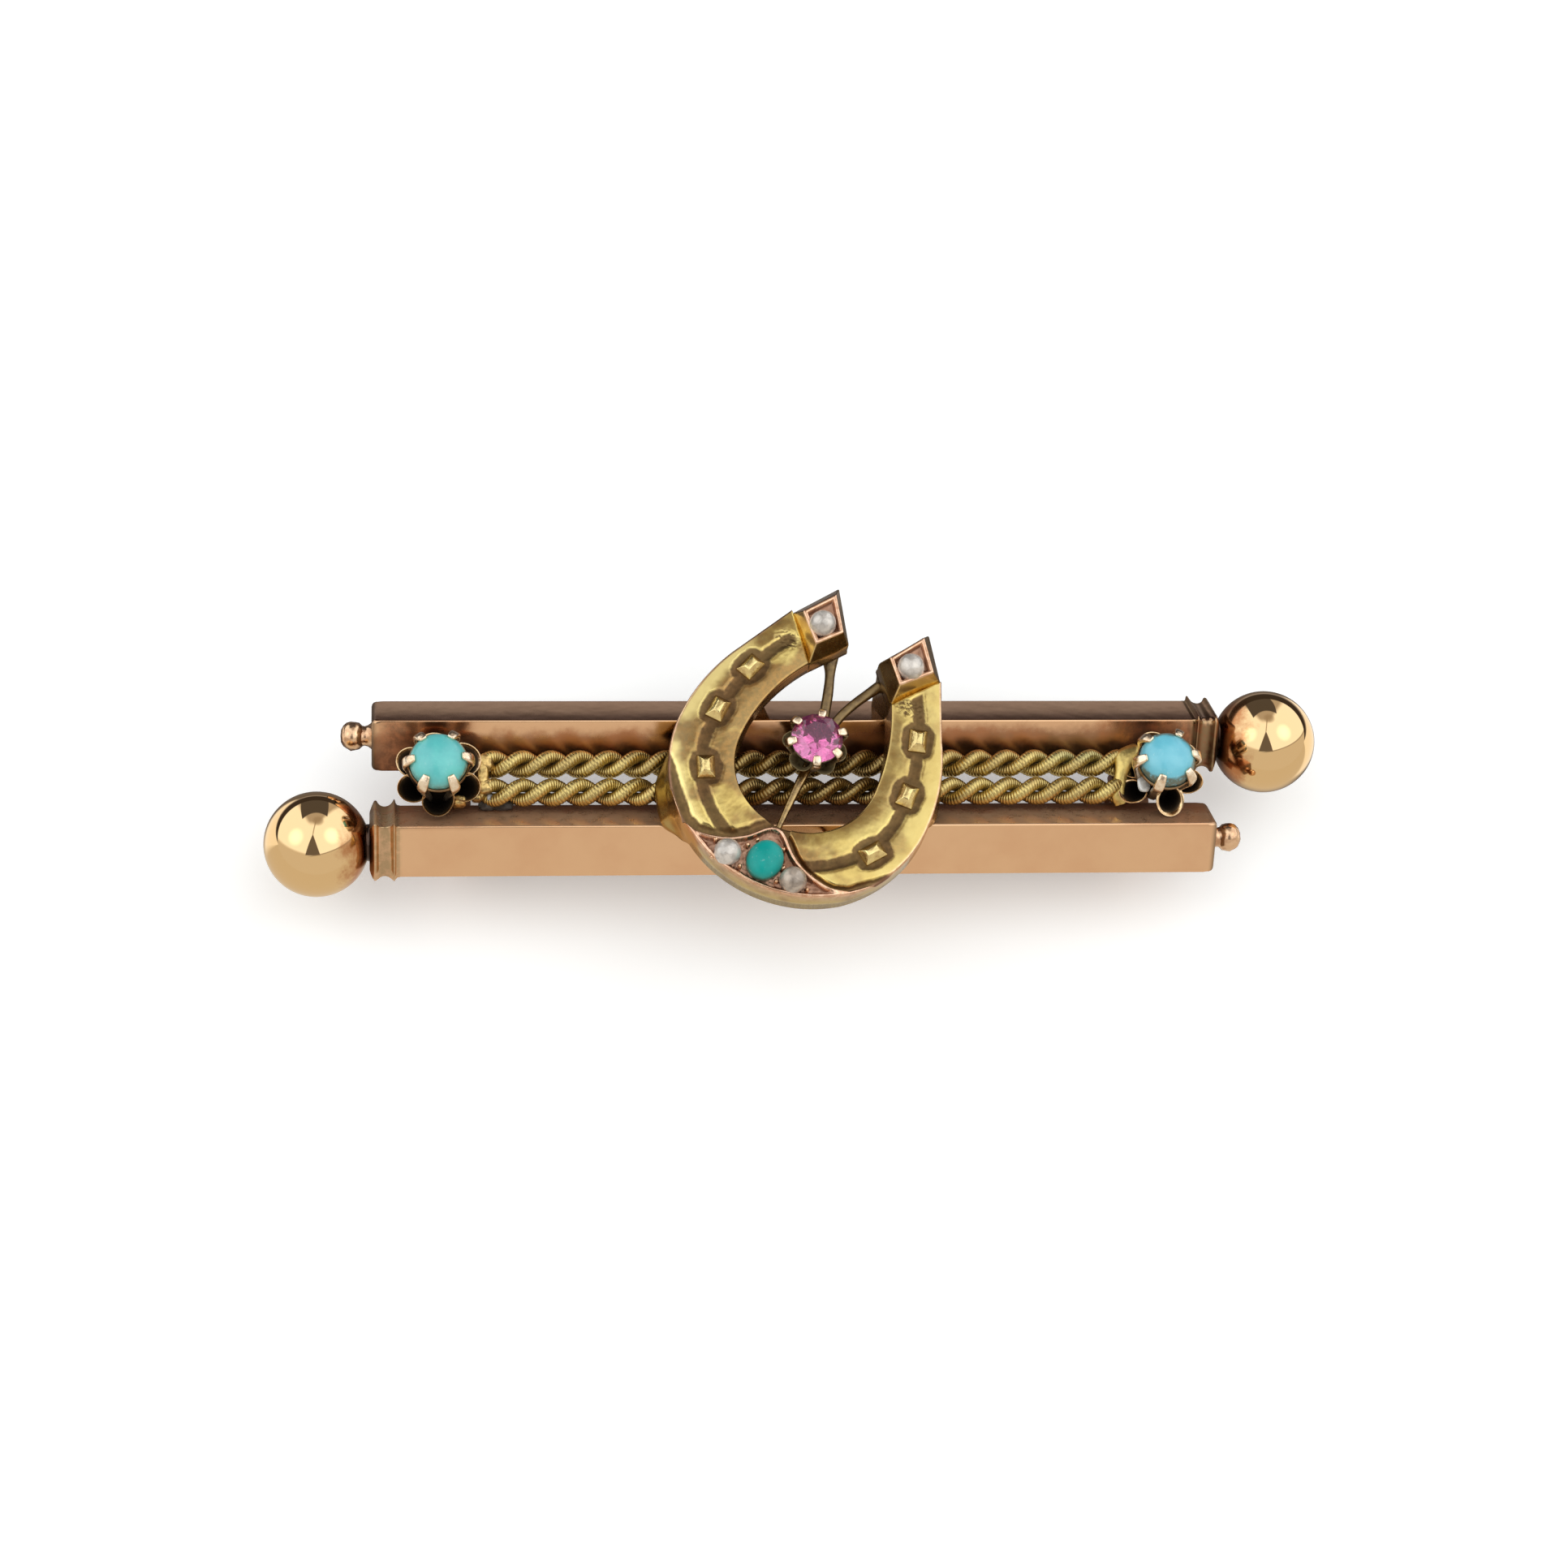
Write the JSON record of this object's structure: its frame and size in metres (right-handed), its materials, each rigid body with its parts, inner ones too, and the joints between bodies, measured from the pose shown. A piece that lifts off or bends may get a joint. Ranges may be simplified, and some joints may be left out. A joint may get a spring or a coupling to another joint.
{
  "type": "horseshoe brooch",
  "caption": "Gold bar brooch: square bars with ball ends, rope wires between them, a horseshoe over the middle, and turquoise, ruby and seed pearl settings.",
  "frame": {"origin": "on the surface that the brooch rests on, straight below the middle of the two bars", "axes": "+X along the bars towards the right end seen from the front, +Y up the face towards the horseshoe's heels, +Z out of the face"},
  "size_m": [0.0502, 0.0155, 0.01],
  "materials": {
    "rose_gold": "polished, worn",
    "yellow_gold": "polished, worn",
    "turquoise": "polished",
    "ruby": "polished",
    "pearl": "lustrous"
  },
  "bodies": {
    "root": {"lower_bar": "rose_gold", "upper_bar": "rose_gold", "rope_upper_strand_a": "yellow_gold", "rope_upper_strand_b": "yellow_gold", "rope_lower_strand_a": "yellow_gold", "rope_lower_strand_b": "yellow_gold", "horseshoe": "yellow_gold", "flower_left": "yellow_gold", "flower_right": "yellow_gold", "ruby_setting": "yellow_gold", "pin_clasp": "rose_gold", "ruby": "ruby", "turquoise_left": "turquoise", "turquoise_right": "turquoise", "turquoise_toe": "turquoise", "pearl_tip_left": "pearl", "pearl_tip_right": "pearl", "pearl_toe_left": "pearl", "pearl_toe_right": "pearl"}
  },
  "joints": []
}
